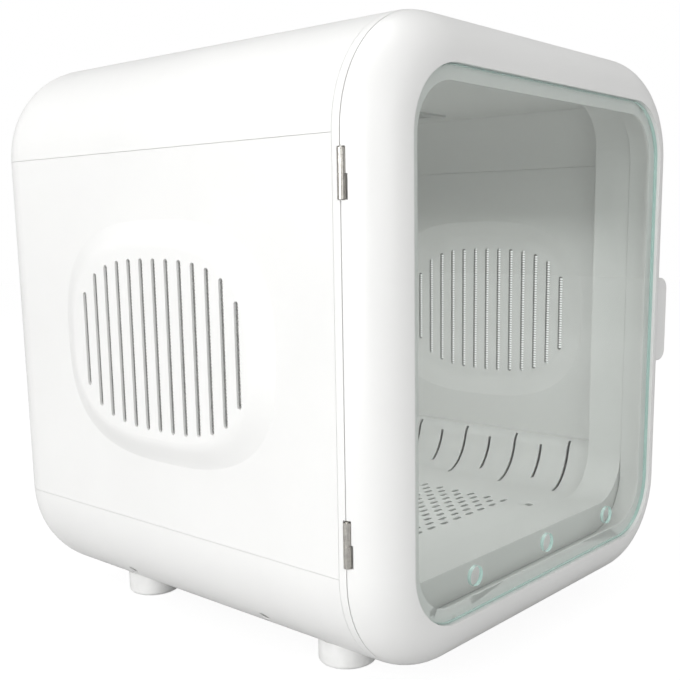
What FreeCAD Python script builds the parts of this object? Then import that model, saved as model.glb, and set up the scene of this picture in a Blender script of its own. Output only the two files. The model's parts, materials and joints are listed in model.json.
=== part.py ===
"""Warm-air and UV drying cabinet for a salon counter: rounded case, glazed door, air unit, lamp.

Frame: +Z up, front (the glazed door) towards -Y, origin on the surface the feet stand on,
under the middle of the case. Millimetres.
"""
import FreeCAD, Part
import Sketcher
import math
import os
import re

V = FreeCAD.Vector
doc = FreeCAD.newDocument("drying_cabinet")

# ---------------------------------------------------------------- driving sizes
SIZES = [
    ("body_width", 440), ("front_reach", 233.5), ("rear_reach", 237.5), ("body_height", 480),
    ("foot_height", 22),
    ("corner_radius", 88), ("front_fillet", 39.5), ("rear_fillet", 45), ("wall", 3),
    ("seam_gap", 0.2), ("fit_gap", 0.05),
    # door
    ("door_depth", 32.5), ("door_gap", 0.6), ("recess_half_width", 183.4),
    ("recess_half_height", 201.2), ("recess_depth", 3), ("recess_radius", 50),
    ("glass_thickness", 3.2), ("glass_gap", 0.8), ("flange_width", 11), ("door_wall", 2.5),
    ("glass_hole", 16), ("glass_hole_pitch", 105), ("glass_hole_rise", 88.7),
    ("seal_width", 6), ("seal_offset", 9), ("handle_length", 82), ("handle_reach", 12), ("handle_depth", 20),
    # hinges
    ("barrel_radius", 2.9), ("barrel_length", 16.4), ("barrel_sink", 0.8), ("hinge_inset", 0.5),
    ("pin_radius", 1.4), ("washer_height", 0.5), ("barrel_room", 0.3), ("notch_side", 1.6),
    ("hinge_spread", 125.4), ("leaf_width", 19), ("leaf_thickness", 1.2),
    # chamber
    ("tunnel_half_width", 187), ("tunnel_depth", 36.4), ("tunnel_radius", 43),
    ("floor_level", 85), ("ceiling_level", 469), ("rear_space", 50), ("liner", 2.5),
    ("cove_radius", 45), ("cove_sweep", 75), ("roll_radius", 16), ("cove_slot_pitch", 33.5),
    ("cove_slot_width", 3), ("cove_slot_lean", 10), ("cove_gap", 0.6),
    # side grilles
    ("grille_y", -9.3), ("slot_count", 13), ("slot_pitch", 15.93), ("slot_width", 4.8),
    ("slot_half_length", 68.7), ("slot_span", 102.5), ("boss_y", -4), ("boss_rise", 1),
    ("boss_height", 8.7), ("boss_half_length", 108), ("boss_half_height", 76), ("boss_blend", 28),
    ("grille_skin", 2.2), ("grille_backing", 0.9), ("screen_thickness", 0.6),
    ("screen_half_height", 72.4), ("screen_pitch", 2.6),
    # back
    ("rear_opening_half_width", 172), ("rear_opening_edge", 50), ("rear_opening_radius", 40),
    ("rear_lip", 8),
    # feet
    ("foot_radius", 24.5), ("foot_x", 133), ("foot_front_y", -120), ("foot_rear_y", 142),
    # air unit
    ("fan_size", 150), ("fan_bore_radius", 69), ("fan_base", 29.5), ("fan_height", 32),
    ("blade_count", 7), ("blade_tip_radius", 66), ("hub_radius", 27), ("heater_height", 14),
    # lamp
    ("lamp_radius", 8), ("lamp_half_length", 134), ("lamp_y", 20), ("lamp_rise", 13),
    # control panel
    ("panel_half_width", 60), ("panel_half_depth", 19), ("panel_y", -150), ("panel_drop", 0.8),
    ("button_radius", 5.4), ("button_pitch", 16), ("button_gap", 0.08),
]
SIZE = dict(SIZES)

sheet = doc.addObject("Spreadsheet::Sheet", "Sizes")
for row, (alias, number) in enumerate(SIZES, start=1):
    sheet.set("A%d" % row, alias)
    sheet.set("B%d" % row, str(number))
    sheet.setAlias("B%d" % row, alias)
doc.recompute()

# places worked out from the sizes, as sheet arithmetic
LEFT = "-(body_width / 2)"
RIGHT = "(body_width / 2)"
FRONT = "-front_reach"
BACK = "rear_reach"
BOTTOM = "foot_height"
TOP = "(foot_height + body_height)"
MIDDLE = "(foot_height + body_height / 2)"
LOW_SEAM = "(foot_height + corner_radius)"
HIGH_SEAM = "(foot_height + body_height - corner_radius)"
FRONT_SEAM = "(front_fillet - front_reach)"
DOOR_BACK = "(door_depth - front_reach)"
FRAME_FACE = "(door_depth + door_gap - front_reach)"
CHAMBER_FRONT = "(door_depth + door_gap + tunnel_depth - front_reach)"
CHAMBER_BACK = "(rear_reach - rear_space)"
GLASS_FRONT = "(recess_depth - front_reach)"
GLASS_BACK = "(recess_depth + glass_thickness - front_reach)"
HINGE_X = "(barrel_sink - body_width / 2)"
HINGE_Y = "(door_depth - hinge_inset - front_reach)"
PAST = 20          # how far a cutter runs past the face it opens

NODES = {}


def formula(text):
    """Sheet arithmetic with every size name written as a reference to the sheet."""
    def named(word):
        return "Sizes." + word.group(0) if word.group(0) in SIZE else word.group(0)
    return re.sub(r"[a-z][a-z_0-9]*", named, str(text))


def bind(obj, prop, text):
    obj.setExpression(prop, formula(text))


def place(obj, x, y, z):
    bind(obj, "Placement.Base.x", x)
    bind(obj, "Placement.Base.y", y)
    bind(obj, "Placement.Base.z", z)
    return obj


def node(name, obj):
    """Name a finished sub-part: its label is the name of its file."""
    obj.Label = name
    NODES[name] = obj
    return obj


# ---------------------------------------------------------------- building helpers
def block(x0, x1, y0, y1, z0, z1):
    box = doc.addObject("Part::Box", "block")
    bind(box, "Length", "(%s) - (%s)" % (x1, x0))
    bind(box, "Width", "(%s) - (%s)" % (y1, y0))
    bind(box, "Height", "(%s) - (%s)" % (z1, z0))
    return place(box, x0, y0, z0)


TURN = {"z": FreeCAD.Rotation(),
        "y": FreeCAD.Rotation(V(1, 0, 0), -90),
        "x": FreeCAD.Rotation(V(0, 1, 0), 90)}


def rod(radius, length, x, y, z, axis="z"):
    """A round bar that starts at x, y, z and runs up its axis."""
    bar = doc.addObject("Part::Cylinder", "rod")
    bar.Placement = FreeCAD.Placement(V(), TURN[axis])
    bind(bar, "Radius", radius)
    bind(bar, "Height", length)
    return place(bar, x, y, z)


def cut(base, *tools):
    """Take the tools away from the base."""
    part = doc.addObject("Part::Cut", "cut")
    part.Base = base
    part.Tool = tools[0] if len(tools) == 1 else fuse(*tools)
    return part


def fuse(*shapes):
    part = doc.addObject("Part::MultiFuse", "fuse")
    part.Shapes = list(shapes)
    return part


def common(first, second):
    part = doc.addObject("Part::MultiCommon", "common")
    part.Shapes = [first, second]
    return part


def group(shapes):
    """Separate solids kept in one sub-part."""
    part = doc.addObject("Part::Compound", "group")
    part.Links = list(shapes)
    return part


def form(name, shape, placement=None):
    """A shape worked out from the sizes in code, where no sketch or primitive fits."""
    part = doc.addObject("Part::Feature", name)
    part.Shape = shape
    part.Placement = placement or FreeCAD.Placement()
    return part


def mirrored(source):
    """The same piece on the other side of the middle plane."""
    part = doc.addObject("Part::Mirroring", "mirrored")
    part.Source = source
    part.Normal = V(1, 0, 0)
    return part


PLANES = {"z": ("XY_Plane", False), "y": ("XZ_Plane", True), "x": ("YZ_Plane", False)}


def new_sketch(body, axis):
    role = PLANES[axis][0]
    plane = [item for item in body.Origin.OriginFeatures if item.Role == role][0]
    sketch = body.newObject("Sketcher::SketchObject", "outline")
    sketch.AttachmentSupport = (plane, [""])
    sketch.MapMode = "FlatFace"
    return sketch


def pad(body, sketch, length, axis):
    feature = body.newObject("PartDesign::Pad", "pad")
    feature.Profile = sketch
    bind(feature, "Length", length)
    feature.Reversed = PLANES[axis][1]
    return feature


def rounded_pad(axis, u0, u1, v0, v1, w0, w1, radius):
    """A plate with round corners: u and v are its sides, w runs along the axis."""
    body = doc.addObject("PartDesign::Body", "rounded")
    sketch = new_sketch(body, axis)
    side, r = 10.0, 2.0
    up = V(0, 0, 1)
    corners = [(side - r, r), (side - r, side - r), (r, side - r), (r, r)]
    starts = [(r, 0), (side, r), (side - r, side), (0, side - r)]
    ends = [(side - r, 0), (side, side - r), (r, side), (0, r)]
    for turn in range(4):
        sketch.addGeometry(Part.LineSegment(V(*starts[turn]), V(*ends[turn])))
        circle = Part.Circle(V(*corners[turn]), up, r)
        first = math.radians(-90 + 90 * turn)
        sketch.addGeometry(Part.ArcOfCircle(circle, first, first + math.pi / 2))
    for edge in range(8):
        sketch.addConstraint(Sketcher.Constraint("Tangent", edge, 2, (edge + 1) % 8, 1))
    for edge, kind in ((0, "Horizontal"), (2, "Vertical"), (4, "Horizontal"), (6, "Vertical")):
        sketch.addConstraint(Sketcher.Constraint(kind, edge))
    for edge in (3, 5, 7):
        sketch.addConstraint(Sketcher.Constraint("Equal", 1, edge))
    sketch.addConstraint(Sketcher.Constraint("PointOnObject", 0, 1, -1))
    sketch.addConstraint(Sketcher.Constraint("PointOnObject", 6, 1, -2))
    drive(sketch, Sketcher.Constraint("Radius", 1, r), radius)
    drive(sketch, Sketcher.Constraint("DistanceX", -1, 1, 2, 1, side), "(%s) - (%s)" % (u1, u0))
    drive(sketch, Sketcher.Constraint("DistanceY", -1, 1, 4, 1, side), "(%s) - (%s)" % (v1, v0))
    pad(body, sketch, "(%s) - (%s)" % (w1, w0), axis)
    base = {"z": (u0, v0, w0), "y": (u0, w0, v0), "x": (w0, u0, v0)}[axis]
    return place(body, *base)


def drive(sketch, constraint, text):
    index = sketch.addConstraint(constraint)
    bind(sketch, "Constraints[%d]" % index, text)


def outline_pad(axis, edges, w0, w1):
    """A piece of one cross-section, drawn in place and run along the axis from w0 to w1."""
    body = doc.addObject("PartDesign::Body", "section")
    sketch = new_sketch(body, axis)
    sketch.addGeometry(edges)
    pad(body, sketch, "(%s) - (%s)" % (w1, w0), axis)
    base = {"z": (0, 0, w0), "y": (0, w0, 0), "x": (w0, 0, 0)}[axis]
    return place(body, *base)


def round_rim(body, at_far_end, radius):
    """Fillet every edge on one end face of a pad that runs along Y."""
    doc.recompute()
    solid = body.Tip
    shape = solid.Shape
    level = shape.BoundBox.YMax if at_far_end else shape.BoundBox.YMin
    names = []
    for index, edge in enumerate(shape.Edges, start=1):
        box = edge.BoundBox
        if abs(box.YMin - level) < 1e-6 and abs(box.YMax - level) < 1e-6:
            names.append("Edge%d" % index)
    fillet = body.newObject("PartDesign::Fillet", "rim")
    fillet.Base = (solid, names)
    bind(fillet, "Radius", radius)
    body.Tip = fillet
    return body


def polygon(points):
    count = len(points)
    return [Part.LineSegment(V(*points[i]), V(*points[(i + 1) % count])) for i in range(count)]


def obround(cx, cy, half_long, half_wide, upright):
    """The four edges of a slot with round ends, centred on cx, cy."""
    reach = half_long - half_wide
    if upright:
        a, b, first = V(cx, cy + reach), V(cx, cy - reach), 0.0
        side = V(half_wide, 0)
    else:
        a, b, first = V(cx - reach, cy), V(cx + reach, cy), math.pi / 2
        side = V(0, half_wide)
    up = V(0, 0, 1)
    return [Part.ArcOfCircle(Part.Circle(a, up, half_wide), first, first + math.pi),
            Part.LineSegment(a - side, b - side),
            Part.ArcOfCircle(Part.Circle(b, up, half_wide), first + math.pi, first + 2 * math.pi),
            Part.LineSegment(b + side, a + side)]


def perforated(outer, holes, thickness):
    """A thin plate, drawn in XY and run up Z, with many holes."""
    wires = [Part.Wire([edge.toShape() for edge in edges]) for edges in [outer] + holes]
    return Part.makeFace(wires, "Part::FaceMakerBullseye").extrude(V(0, 0, thickness))


def lead(points, radius):
    """A wire along straight runs joined by arcs, each as large as its runs allow."""
    points = [V(*point) for point in points]
    edges = []
    start = points[0]
    for before, corner, after in zip(points, points[1:], points[2:]):
        into = (corner - before).normalize()
        out = (after - corner).normalize()
        turn = into.getAngle(out)
        trim = 0.45 * min((corner - before).Length, (after - corner).Length)
        bend = trim / math.tan(turn / 2)
        first = corner - into * trim
        last = corner + out * trim
        to_centre = (out - into).normalize()
        middle = corner + to_centre * (bend / math.cos(turn / 2) - bend)
        edges.append(Part.LineSegment(start, first).toShape())
        edges.append(Part.Arc(first, middle, last).toShape())
        start = last
    edges.append(Part.LineSegment(start, points[-1]).toShape())
    path = Part.Wire(edges)
    ring = Part.Wire([Part.Circle(points[0], points[1] - points[0], radius).toShape()])
    tube = path.makePipeShell([ring], True, False)
    print("wire", round(path.Length, 1), "mm, volume error",
          round(tube.Volume / (math.pi * radius ** 2 * path.Length) - 1, 4))
    return tube


def case_form(inset, fillets=True):
    """The rounded outside of the whole cabinet, or the same form a little smaller."""
    body = rounded_pad("y", "%s + %s" % (LEFT, inset), "%s - %s" % (RIGHT, inset),
                       "%s + %s" % (BOTTOM, inset), "%s - %s" % (TOP, inset),
                       "%s + %s" % (FRONT, inset), "%s - %s" % (BACK, inset),
                       "corner_radius - %s" % inset)
    if fillets:
        round_rim(body, False, "front_fillet - %s" % inset)
        round_rim(body, True, "rear_fillet - %s" % inset)
    return body


outer_form = case_form("0")
inner_form = case_form("wall")
collar_outer = case_form("(wall + fit_gap)", fillets=False)
collar_inner = case_form("(wall * 2)", fillets=False)


# ---------------------------------------------------------------- case shells
def soft_oblong(half_u, half_v, power, put):
    """A closed curve between an ellipse and a rectangle; put turns u, v into a point."""
    steps = 32
    points = []
    for step in range(steps):
        angle = 2 * math.pi * step / steps
        c, s = math.cos(angle), math.sin(angle)
        points.append(put(half_u * math.copysign(abs(c) ** (2 / power), c),
                          half_v * math.copysign(abs(s) ** (2 / power), s)))
    curve = Part.BSplineCurve()
    curve.interpolate(points, PeriodicFlag=True)
    return curve


MIDDLE_Z = SIZE["foot_height"] + SIZE["body_height"] / 2
BOSS_POWER = 2.8   # power of the superellipse that outlines the raised oval
SLOT_POWER = 3     # the same for the field of slots and the screen behind it
SINK = 0.5         # the boss starts this far under the panel's face


def boss_loft(shift, height):
    """The raised oval of the left grille, a smooth S in section, moved along X by shift."""
    face = -SIZE["body_width"] / 2 + shift
    levels = []
    for u in (1, 0.85, 0.7, 0.5, 0.3, 0.15, 0.06, 0):
        x = face + SINK - (height + SINK) * (1 + math.cos(math.pi * u)) / 2

        def put(y, z):
            return V(x, SIZE["boss_y"] + y, MIDDLE_Z + SIZE["boss_rise"] + z)
        spread = SIZE["boss_blend"] * u
        level = soft_oblong(SIZE["boss_half_length"] + spread, SIZE["boss_half_height"] + spread * 0.9,
                            BOSS_POWER, put)
        levels.append(Part.Wire([level.toShape()]))
    return Part.makeLoft(levels, True, False)


def slot_offsets():
    middle = (SIZE["slot_count"] - 1) / 2
    return [(index - middle) * SIZE["slot_pitch"] for index in range(SIZE["slot_count"])]


def slot_reach(offset):
    """Half the length of the grille slot that stands this far from the grille's middle."""
    return SIZE["slot_half_length"] * (1 - abs(offset / SIZE["slot_span"]) ** SLOT_POWER) ** (1 / SLOT_POWER)


def grille_slots():
    edges = []
    for offset in slot_offsets():
        edges += obround(SIZE["grille_y"] + offset, MIDDLE_Z, slot_reach(offset),
                         SIZE["slot_width"] / 2, True)
    return outline_pad("x", edges, "%s - %d" % (LEFT, PAST), "%s + %d" % (LEFT, PAST))


def screen_pocket():
    """The room inside the grille's wall that the screen is moulded into."""
    gap = SIZE["fit_gap"]
    x = SIZE["grille_skin"] - SIZE["boss_height"] - SIZE["body_width"] / 2

    def put(y, z):
        return V(x, SIZE["grille_y"] + y, MIDDLE_Z + z)
    rim = soft_oblong(SIZE["slot_span"] + gap, SIZE["screen_half_height"] + gap, SLOT_POWER, put)
    face = Part.Face(Part.Wire([rim.toShape()]))
    return form("screen_pocket", face.extrude(V(SIZE["screen_thickness"] + 2 * gap, 0, 0)))


def build_case():
    half = "seam_gap / 2"
    lip_inside = rounded_pad("y", "rear_lip - rear_opening_half_width",
                             "rear_opening_half_width - rear_lip",
                             "foot_height + rear_opening_edge + rear_lip",
                             "%s - rear_opening_edge - rear_lip" % TOP,
                             "%s - %d" % (BACK, 2 * PAST), "%s + %d" % (BACK, PAST),
                             "rear_opening_radius - rear_lip")
    lip_slab = block(LEFT, RIGHT, "%s - 8" % BACK, "%s - 5" % BACK, BOTTOM, TOP)
    lip = cut(common(inner_form, lip_slab), lip_inside)
    opening = rounded_pad("y", "-rear_opening_half_width", "rear_opening_half_width",
                          "foot_height + rear_opening_edge", "%s - rear_opening_edge" % TOP,
                          "%s - 5" % BACK, "%s + %d" % (BACK, PAST), "rear_opening_radius")
    screw_holes = [rod(1.6, PAST, x, "%s - %d" % (BACK, PAST - 4), z, "y") for x, z in BACK_SCREWS]
    blank = cut(fuse(cut(outer_form, inner_form), lip), opening, *screw_holes)
    front = "%s + %s" % (FRONT_SEAM, half)
    behind = "%s + %d" % (BACK, PAST)

    # front frame: ring, face plate, collar that locates the shells, and the doorway tunnel
    ring = common(outer_form, block(LEFT, RIGHT, FRAME_FACE, "%s - %s" % (FRONT_SEAM, half), 0, TOP))
    hollow = rounded_pad("y", "%s + wall * 2" % LEFT, "%s - wall * 2" % RIGHT,
                         "%s + wall * 2" % BOTTOM, "%s - wall * 2" % TOP,
                         "%s + wall" % FRAME_FACE, "%s + %d" % (FRONT_SEAM, PAST), "corner_radius - wall * 2")
    collar = cut(common(collar_outer, block(LEFT, RIGHT, "%s + wall" % FRAME_FACE,
                                            "%s + 10" % FRONT_SEAM, 0, TOP)), hollow)
    tunnel = rounded_pad("y", "-tunnel_half_width - wall", "tunnel_half_width + wall",
                         "floor_level - wall", "ceiling_level + wall",
                         "%s + wall / 2" % FRAME_FACE, CHAMBER_FRONT, "tunnel_radius + wall")
    doorway = rounded_pad("y", "-tunnel_half_width", "tunnel_half_width", "floor_level",
                          "ceiling_level", "%s - %d" % (FRAME_FACE, PAST),
                          "%s + %d" % (CHAMBER_FRONT, PAST), "tunnel_radius")
    frame = cut(fuse(cut(ring, hollow), collar, tunnel), doorway, *frame_cutters())
    node("front_frame", frame)

    # top shell with the opening for the control panel
    top = common(blank, block("%s - 1" % LEFT, "%s + 1" % RIGHT, front, behind,
                              "%s + %s" % (HIGH_SEAM, half), "%s + 1" % TOP))
    panel_hole = rounded_pad("z", "-panel_half_width", "panel_half_width",
                             "panel_y - panel_half_depth", "panel_y + panel_half_depth",
                             "%s - wall - 1" % TOP, "%s + 1" % TOP, 8)
    node("top_shell", cut(top, panel_hole))

    # bottom shell: intake opening, foot bosses, fan standoffs, dimples for the side screws
    low = common(blank, block("%s - 1" % LEFT, "%s + 1" % RIGHT, front, behind, "%s - 1" % BOTTOM,
                              "%s - %s" % (LOW_SEAM, half)))
    bosses = []
    holes = [rod(INTAKE_RADIUS, PAST, 0, 0, "%s - 5" % BOTTOM)]
    for x, y in FOOT_PLACES:
        bosses.append(rod(7, 16, x, y, "%s + wall - 1" % BOTTOM))
        holes.append(rod(FOOT_SCREW_RADIUS + 0.05, PAST, x, y, "%s - 1" % BOTTOM))
    for x, y in FLOOR_SCREWS:
        bosses.append(rod(6, "floor_level - liner - foot_height - wall + 0.95", x, y,
                          "%s + wall - 1" % BOTTOM))
        holes.append(rod(1.9, 14, x, y, "floor_level - liner - 13"))
        holes.append(rod(4.1, 5, x, y, "floor_level - liner - 2.2"))
    for x in FAN_CORNERS:
        for y in FAN_CORNERS:
            bosses.append(rod(5, "fan_base - foot_height - wall + 1", x, y, "%s + wall - 1" % BOTTOM))
    for screw in side_screws(head=5.0, sunk=1.6, lift=-6, shank=1.85):
        holes.append(screw)
    node("bottom_shell", cut(fuse(low, *bosses), *holes))

    # side panels: blank, raised grille, slots, and the tabs that the bottom screws hold
    left = common(blank, block("%s - 1" % LEFT, "-50", front, behind, "%s + %s" % (LOW_SEAM, half),
                               "%s - %s" % (HIGH_SEAM, half)))
    tabs = []
    for y in SIDE_SCREW_Y:
        strap = block("%s + wall" % LEFT, "-170", y - 12, y + 12, 38, "%s + 1" % LOW_SEAM)
        tabs.append(cut(common(collar_outer, strap), collar_inner))
        tabs.append(block("%s + wall - 1" % LEFT, "%s + wall * 2" % LEFT, y - 12, y + 12,
                          "%s + %s" % (LOW_SEAM, half), "%s + 15" % LOW_SEAM))
    boss = form("boss", boss_loft(0, SIZE["boss_height"]))
    pocket = SIZE["screen_thickness"] + 2 * SIZE["fit_gap"]
    grille_wall = SIZE["grille_skin"] + pocket + SIZE["grille_backing"]
    recess = form("recess", boss_loft(SIZE["wall"], SIZE["boss_height"] + SIZE["wall"] - grille_wall))
    tab_holes = side_screws(head=1.85, sunk=2.5, lift=-6, shank=1.85)[:2]
    panel = cut(fuse(left, boss, *tabs), recess, grille_slots(), screen_pocket(), *tab_holes)
    node("left_side_panel", panel)
    node("right_side_panel", mirrored(panel))

    # back panel with its vents and cut-outs
    plate = rounded_pad("y", "0.3 - rear_opening_half_width", "rear_opening_half_width - 0.3",
                        "foot_height + rear_opening_edge + 0.3", "%s - rear_opening_edge - 0.3" % TOP,
                        "%s - 5" % BACK, "%s - 2" % BACK, "rear_opening_radius - 0.3")
    vents = []
    for column in range(-4, 5):
        for level in (330, 370):
            vents += obround(column * 14, level, 15, 2, True)
    vent_cutter = outline_pad("y", vents, "%s - %d" % (BACK, PAST), "%s + 1" % BACK)
    inlet_hole = block(INLET_X - 13.6, INLET_X + 13.6, "%s - 8" % BACK, BACK, INLET_Z - 9.9, INLET_Z + 9.9)
    switch_hole = block(SWITCH_X - 6.9, SWITCH_X + 6.9, "%s - 8" % BACK, BACK, INLET_Z - 10, INLET_Z + 10)
    node("back_panel", cut(plate, vent_cutter, inlet_hole, switch_hole, *screw_holes))
    screws = []
    for x, z in BACK_SCREWS:
        screws.append(screw_shape(V(x, SIZE["rear_reach"] - 0.4, z), V(0, -1, 0), 3.0, 1.6, 1.5, 9.5))
    node("back_panel_screws", form("screws", Part.makeCompound(screws)))


FOOT_SCREW_RADIUS = 2.0
FOOT_PLACES = [(side + "foot_x", y) for side in ("-", "") for y in ("foot_front_y", "foot_rear_y")]
FAN_CORNERS = ("8 - fan_size / 2", "fan_size / 2 - 8")
INTAKE_RADIUS = 66
SIDE_SCREW_Y = (-87, 87)
BACK_SCREWS = [(x, z) for x in (-167.8, 167.8) for z in (120, 262, 404)]
BACK_SCREWS += [(x, z) for x in (-90, 90) for z in (76.2, 447.8)]
INLET_X, INLET_Z = 120, 118
SWITCH_X = 80


def screw_shape(seat, into, head_radius, head_height, shank_radius, shank_length):
    """A cross-head screw: seat is the top of its head, into is the way it is driven."""
    head = Part.makeCylinder(head_radius, head_height, seat, into)
    rim = [edge for edge in head.Edges if (edge.CenterOfMass - seat).Length < 1e-6]
    head = head.makeFillet(min(0.5, head_height * 0.4), rim)
    shank = Part.makeCylinder(shank_radius, shank_length, seat + into * (head_height * 0.5), into)
    aside = into.cross(V(0, 0, 1)) if abs(into.z) < 0.9 else into.cross(V(1, 0, 0))
    aside.normalize()
    other = into.cross(aside)
    other.normalize()
    body = head.fuse(shank).removeSplitter()
    for along, across in ((aside, other), (other, aside)):
        corner = seat - along * (head_radius * 0.6) - across * 0.3 - into * 1
        flat = Part.makePolygon([corner, corner + along * (head_radius * 1.2),
                                 corner + along * (head_radius * 1.2) + across * 0.6,
                                 corner + across * 0.6, corner])
        body = body.cut(Part.Face(flat).extrude(into * (1 + head_height * 0.45)))
    return body


def side_screw_spots():
    """Where the four screws through the lower rounded edges sit, and the way they are driven."""
    slant = math.sqrt(0.5)
    radius = SIZE["corner_radius"]
    out = SIZE["body_width"] / 2 - radius + radius * slant
    height = SIZE["foot_height"] + radius - radius * slant
    return [(V(side * out, y, height), V(-side * slant, 0, slant)) for side in (-1, 1) for y in SIDE_SCREW_Y]


def side_screws(head, sunk, lift, shank):
    """Tools for those screws, left pair first: a round seat and a hole that runs on from it."""
    tools = []
    for spot, into in side_screw_spots():
        hole = Part.makeCylinder(head, sunk - lift, spot + into * lift, into)
        tip = Part.makeCylinder(shank, 14, spot + into * lift, into)
        tools.append(form("side_screw_tool", hole.fuse(tip)))
    return tools


def build_side_screws():
    screws = [screw_shape(spot + into * 0.4, into, 4.0, 1.2, 1.8, 7) for spot, into in side_screw_spots()]
    node("bottom_shell_screws", form("screws", Part.makeCompound(screws)))


# ---------------------------------------------------------------- hinges
def hinge_levels():
    """Lowest point of each hinge: lower, then upper."""
    return ["%s - hinge_spread - barrel_length" % MIDDLE, "%s + hinge_spread - barrel_length" % MIDDLE]


def barrel_well(low):
    """Room for a whole barrel and the tip of its pin."""
    return rod("barrel_radius + barrel_room", "barrel_length * 2 + 1.4", HINGE_X, HINGE_Y,
               "%s - barrel_room" % low)


def frame_cutters():
    """Room in the front frame for the hinge barrels, their leaves and the magnets' plates."""
    tools = []
    for low in hinge_levels():
        tools.append(barrel_well(low))
        tools.append(block(HINGE_X, "%s + leaf_width + 0.2" % LEFT, "%s - 1" % FRAME_FACE,
                           "%s + leaf_thickness" % FRAME_FACE,
                           "%s - 0.2" % low, "%s + barrel_length + 0.2" % low))
        for rise in LEAF_SCREWS:
            tools.append(rod(1.25, 8, LEAF_SCREW_X, FRAME_FACE, "%s + %s" % (low, rise), "y"))
    for z in MAGNET_RISES:
        tools.append(block("%s - 20" % RIGHT, "%s - 8" % RIGHT, "%s - 1" % FRAME_FACE,
                           "%s + 1.5" % FRAME_FACE,
                           "%s + %d" % (MIDDLE, z - 12), "%s + %d" % (MIDDLE, z + 12)))
    return tools


MAGNET_RISES = (-70, 70)
LEAF_SCREWS = (4.5, 12)          # heights of a leaf's two screws above its lower edge
LEAF_SCREW_X = "(leaf_width - 6 - body_width / 2)"
LEAF_SINK = 0.8                  # depth of the counterbore for a screw's head


def build_hinges():
    names = ("lower", "upper")
    fixed_screws, door_screws = [], []
    for name, low in zip(names, hinge_levels()):
        barrel = rod("barrel_radius", "barrel_length - washer_height", HINGE_X, HINGE_Y, low)
        washer = rod("barrel_radius - 0.5", "barrel_length - fit_gap", HINGE_X, HINGE_Y, low)
        leaf = block(HINGE_X, "%s + leaf_width" % LEFT, FRAME_FACE, "%s + leaf_thickness" % FRAME_FACE,
                     low, "%s + barrel_length - washer_height" % low)
        pin = rod("pin_radius", "barrel_length * 2 + 0.8", HINGE_X, HINGE_Y, low)
        holes = []
        for rise in LEAF_SCREWS:
            height = "%s + %s" % (low, rise)
            holes.append(rod(1.4, 4, LEAF_SCREW_X, "%s - 1" % FRAME_FACE, height, "y"))
            holes.append(rod(2.3, 1 + LEAF_SINK, LEAF_SCREW_X, "%s - 1" % FRAME_FACE, height, "y"))
        node("hinge_%s_fixed" % name, cut(fuse(barrel, washer, leaf, pin), *holes))

        high = "%s + barrel_length" % low
        barrel = rod("barrel_radius", "barrel_length", HINGE_X, HINGE_Y, high)
        leaf = block(HINGE_X, "%s + leaf_width" % LEFT, "%s - leaf_thickness" % DOOR_BACK, DOOR_BACK,
                     high, "%s + barrel_length" % high)
        bore = rod("pin_radius + fit_gap", "barrel_length + 2", HINGE_X, HINGE_Y, "%s - 1" % high)
        holes = []
        for rise in LEAF_SCREWS:
            height = "%s + %s" % (high, rise)
            holes.append(rod(1.4, 4, LEAF_SCREW_X, "%s - 3" % DOOR_BACK, height, "y"))
            holes.append(rod(2.3, 2, LEAF_SCREW_X, "%s - %s" % (DOOR_BACK, LEAF_SINK), height, "y"))
        node("hinge_%s_moving" % name, cut(fuse(barrel, leaf), bore, *holes))

    x = -SIZE["body_width"] / 2 + SIZE["leaf_width"] - 6
    face = SIZE["door_depth"] + SIZE["door_gap"] - SIZE["front_reach"]
    back = SIZE["door_depth"] - SIZE["front_reach"]
    for side in (-1, 1):
        low = MIDDLE_Z + side * SIZE["hinge_spread"] - SIZE["barrel_length"]
        high = low + SIZE["barrel_length"]
        for rise in LEAF_SCREWS:
            fixed_screws.append(screw_shape(V(x, face + 0.05, low + rise), V(0, 1, 0), 2.2, 0.7, 1.2, 6))
            door_screws.append(screw_shape(V(x, back - 0.05, high + rise), V(0, -1, 0), 2.2, 0.7, 1.2, 5))
    return fixed_screws, door_screws


# ---------------------------------------------------------------- door
def door_opening(inset, w0, w1, radius):
    return rounded_pad("y", "%s - recess_half_width" % inset, "recess_half_width - %s" % inset,
                       "%s - recess_half_height + %s" % (MIDDLE, inset),
                       "%s + recess_half_height - %s" % (MIDDLE, inset), w0, w1, radius)


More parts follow.
